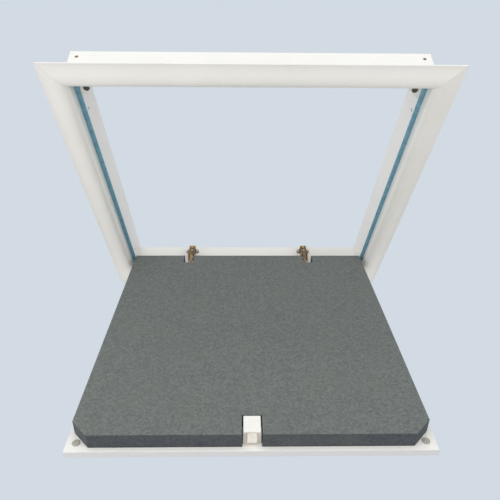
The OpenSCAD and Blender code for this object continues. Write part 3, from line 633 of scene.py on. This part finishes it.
class HATCH_OT_door(bpy.types.Operator):
    """Finishes the panel and makes the foam board"""

    bl_idname = "hatch.door"
    bl_label = "Panel and foam board"

    def execute(self, context):
        settings = context.scene.hatch
        dress(faced_fibreboard(), "door_panel")
        points, faces = foam_board(half=258.5, rear=257.0, top=40.0, cut=26.0, catch_half=14.5,
                                   catch_end=-223.0, notch_in=9.0, notch_out=12.0,
                                   notch_front=226.0, edge=settings.foam_edge)
        board = new_mesh("foam_board", shut_to_open(points), faces)
        # The second copy, for the sides, has darker tones: painted shade on the faces that look
        # away from the lamps
        for name, tones in (("graphite_foam_face", ("#6A6F6D", "#969B94", "#52595A")),
                            ("graphite_foam_side_painted_shade", ("#4C5156", "#6B7075", "#3C4147"))):
            board.data.materials.append(graphite_foam(name, *tones))
        # The sides are the faces that stand at more than about 45 degrees to the block's top
        tilt = np.empty(3 * len(board.data.polygons))
        board.data.polygons.foreach_get("normal", tilt)
        level = np.abs(tilt.reshape(-1, 3) @ DOOR_UP) > 0.7
        board.data.polygons.foreach_set("material_index", np.where(level, 0, 1))
        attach(board, "door")
        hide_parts("insulation_block")
        return {"FINISHED"}


class HATCH_OT_catch(bpy.types.Operator):
    """Finishes the catch's base and bolt, and winds the spring behind the bolt"""

    bl_idname = "hatch.catch"
    bl_label = "Catch"

    def execute(self, context):
        dress(cast_nylon(), "catch_base", "catch_bolt")
        front, back, height = -245.8, -227.3, PANEL_TOP + 11.5
        wound = coil_spring(radius=3.0, wire=0.6, front=front, back=back, height=height, turns=7)
        faces = sheet_faces(*wound.shape[:2])
        spring = new_mesh("catch_spring_coil", shut_to_open(wound), faces)
        spring.data.materials.append(zinc_steel())
        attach(spring, "door")
        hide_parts("catch_spring")
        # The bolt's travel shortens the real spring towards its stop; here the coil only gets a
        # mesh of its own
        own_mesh(spring)
        return {"FINISHED"}


class HATCH_OT_screws(bpy.types.Operator):
    """Makes the screws with their cross recesses"""

    bl_idname = "hatch.screws"
    bl_label = "Screws"

    def execute(self, context):
        gold, brown, zinc = passivated_screw(), browned_screw(), zinc_steel()

        # In the upstand's outer walls beside each corner, at two heights that clear each other
        near, side_height, end_height = HALF_OUT - 12, 50, 56
        corner = [((s * HALF_OUT, t * near, side_height), (s, 0, 0)) for s in BOTH for t in BOTH]
        corner += [((t * near, s * HALF_OUT, end_height), (0, s, 0)) for s in BOTH for t in BOTH]
        screws("corner_wood_screws", "corner_screws", "frame", brown, [(CORNER_SCREW, corner)])

        # On the brackets' walls, which lie a hair off the upstand's inner walls
        gap, wall_thick, near, height = 0.05, 2, 238, 26.8
        wall = HALF_IN - gap - wall_thick
        bracket = [((s * wall, -near, height), (-s, 0, 0)) for s in BOTH]
        bracket += [((s * near, -wall, height), (0, 1, 0)) for s in BOTH]
        screws("bracket_pan_screws", "bracket_screws", "frame", zinc, [(SMALL_SCREW, bracket)])

        keeper_thick, apart, height = 1.5, 6.6, 39
        keeper = [((s * apart, -HALF_IN + keeper_thick, height), (0, 1, 0)) for s in BOTH]
        screws("keeper_pan_screws", "keeper_screws", "frame", zinc, [(SMALL_SCREW, keeper)])

        plate_thick, wing, height = 2, 10.5, 57
        plate = [((h * HINGE_X + s * wing, HALF_IN - plate_thick, height), (0, -1, 0))
                 for h in BOTH for s in BOTH]
        screws("plate_pan_screws", "hinge_plate_screws", "frame", zinc, [(PLATE_SCREW, plate)])

        # On the arm's web: its upright top, and its slant from the bend towards the catch side
        web_in, height = 12, 62
        upright = [((h * HINGE_X, HALF_IN - web_in, height), (0, -1, 0)) for h in BOTH]
        bend, run = np.array((249.0, 58.0)), np.array((-15.402, -18.122))
        front, depth = ([((h * HINGE_X, *(bend + part * run)), (0, run[1], -run[0])) for h in BOTH]
                        for part in (0.8, 0.42))
        screws("arm_pan_screws", "arm_screws", "frame", gold,
               [(SMALL_SCREW, upright), (FRONT_SCREW, front)])
        screws("depth_pan_screws", "adjusting_screws", "frame", zinc, [(DEPTH_SCREW, depth)])

        tray_floor, apart, along = 1, 5, 232.6
        tray = [((h * HINGE_X + s * apart, along, PANEL_TOP + tray_floor), (0, 0, 1))
                for h in BOTH for s in BOTH]
        screws("tray_pan_screws", "tray_screws", "door", zinc, [(TRAY_SCREW, tray)], True)

        base_thick = 1.6
        catch = [((s * apart, along, PANEL_TOP + base_thick), (0, 0, 1))
                 for apart, along in ((4.5, -245.5), (8, -230.0)) for s in BOTH]
        screws("catch_flush_screws", "catch_screws", "door", zinc, [(CATCH_SCREW, catch)], True)
        return {"FINISHED"}


class HATCH_OT_stage(bpy.types.Operator):
    """Sets up the camera, the lamps, the floor and the backdrop"""

    bl_idname = "hatch.stage"
    bl_label = "Studio"

    def execute(self, context):
        settings = context.scene.hatch
        self.camera(context)
        self.world(context, settings)
        self.floor(context, settings)
        self.lamp(context, "key_lamp", *KEY_LAMP, settings.key_power)
        for name, where, towards, size, share in FILL_LAMPS:
            self.lamp(context, name, where, towards, size, share * settings.fill_power)
        context.scene.view_settings.view_transform = "Standard"
        return {"FINISHED"}

    def camera(self, context):
        """Stands the camera where the photograph was taken from: looking up, nearly square on."""
        level_share = math.cos(PITCH)
        ahead = Vector((math.sin(YAW) * level_share, math.cos(YAW) * level_share, math.sin(PITCH)))
        level = Vector((math.cos(YAW), -math.sin(YAW), 0.0))
        above = level.cross(ahead)
        right = math.cos(ROLL) * level + math.sin(ROLL) * above
        up = -math.sin(ROLL) * level + math.cos(ROLL) * above
        lens = bpy.data.cameras.new("camera")
        lens.sensor_width = SENSOR_WIDTH
        lens.lens = FOCAL_PIXELS * SENSOR_WIDTH / PICTURE_PIXELS
        eye = bpy.data.objects.new("camera", lens)
        turn = Matrix((right, up, -ahead)).transposed().to_4x4()
        eye.matrix_world = Matrix.Translation(CAMERA_PLACE) @ turn
        context.scene.collection.objects.link(eye)
        context.scene.camera = eye

    def lamp(self, context, name, where, towards, size, power):
        """Hangs a square lamp that the camera does not see."""
        light = bpy.data.lights.new(name, "AREA")
        light.energy, light.size = power, size
        lamp = bpy.data.objects.new(name, light)
        lamp.location = where
        lamp.visible_camera = False
        ahead = Vector(towards) - Vector(where)
        lamp.rotation_euler = ahead.to_track_quat("-Z", "Y").to_euler()
        context.scene.collection.objects.link(lamp)

    def world(self, context, settings):
        """An even light for surfaces, and the backdrop's colour for the camera and for what is
        seen in gloss or through a clear piece."""
        world = bpy.data.worlds.new("studio")
        world.use_nodes = True
        tree = world.node_tree
        tree.nodes.clear()
        path = add(tree, "ShaderNodeLightPath")
        seen = path.outputs["Is Camera Ray"]
        for ray in ("Is Glossy Ray", "Is Transmission Ray"):
            seen = add(tree, "ShaderNodeMath", {0: seen, 1: path.outputs[ray]},
                       operation="MAXIMUM").outputs[0]
        light = add(tree, "ShaderNodeBackground",
                    {"Color": colour("#FFFFFF"), "Strength": settings.world_light})
        back = add(tree, "ShaderNodeBackground",
                   {"Color": list(settings.backdrop) + [1.0], "Strength": 1.0})
        mix = add(tree, "ShaderNodeMixShader",
                  {0: seen, 1: light.outputs[0], 2: back.outputs[0]})
        add(tree, "ShaderNodeOutputWorld", {"Surface": mix.outputs[0]})
        context.scene.world = world

    def floor(self, context, settings):
        """A plain pale floor well below the open door, lifted for the camera to about the
        backdrop's tone."""
        plain = Finish("studio_floor", "#E9E8E6", 0.9)
        seen = add(plain.tree, "ShaderNodeLightPath").outputs["Is Camera Ray"]
        lift = add(plain.tree, "ShaderNodeMath", {0: seen, 1: FLOOR_LIFT}, operation="MULTIPLY")
        plain.shader.inputs["Emission Color"].default_value = colour("#B0D8FF")
        plain.tree.links.new(lift.outputs[0], plain.shader.inputs["Emission Strength"])
        corners = [(s * FLOOR_REACH, t * FLOOR_REACH, settings.floor_drop)
                   for s, t in ((-1, -1), (1, -1), (1, 1), (-1, 1))]
        floor = new_mesh("studio_floor", corners, [(0, 1, 2, 3)], smooth=False)
        floor.data.materials.append(plain.material)


STEPS = (HATCH_OT_frame, HATCH_OT_brackets, HATCH_OT_hinges, HATCH_OT_door, HATCH_OT_catch,
         HATCH_OT_screws, HATCH_OT_stage)


class HATCH_PT_build(bpy.types.Panel):
    """Lists the hatch's settings and steps"""

    bl_idname = "HATCH_PT_build"
    bl_label = "Ceiling hatch"
    bl_space_type = "VIEW_3D"
    bl_region_type = "UI"
    bl_category = "Hatch"

    def draw(self, context):
        for key in HatchSettings.__annotations__:
            self.layout.prop(context.scene.hatch, key)
        for step in STEPS:
            self.layout.operator(step.bl_idname)


CLASSES = (HatchSettings, *STEPS, HATCH_PT_build)


def register():
    for item in CLASSES:
        bpy.utils.register_class(item)
    bpy.types.Scene.hatch = bpy.props.PointerProperty(type=HatchSettings)


def unregister():
    del bpy.types.Scene.hatch
    for item in reversed(CLASSES):
        bpy.utils.unregister_class(item)


def main():
    register()
    for step in STEPS:
        group, name = step.bl_idname.split(".")
        getattr(getattr(bpy.ops, group), name)()


if __name__ == "__main__":
    main()
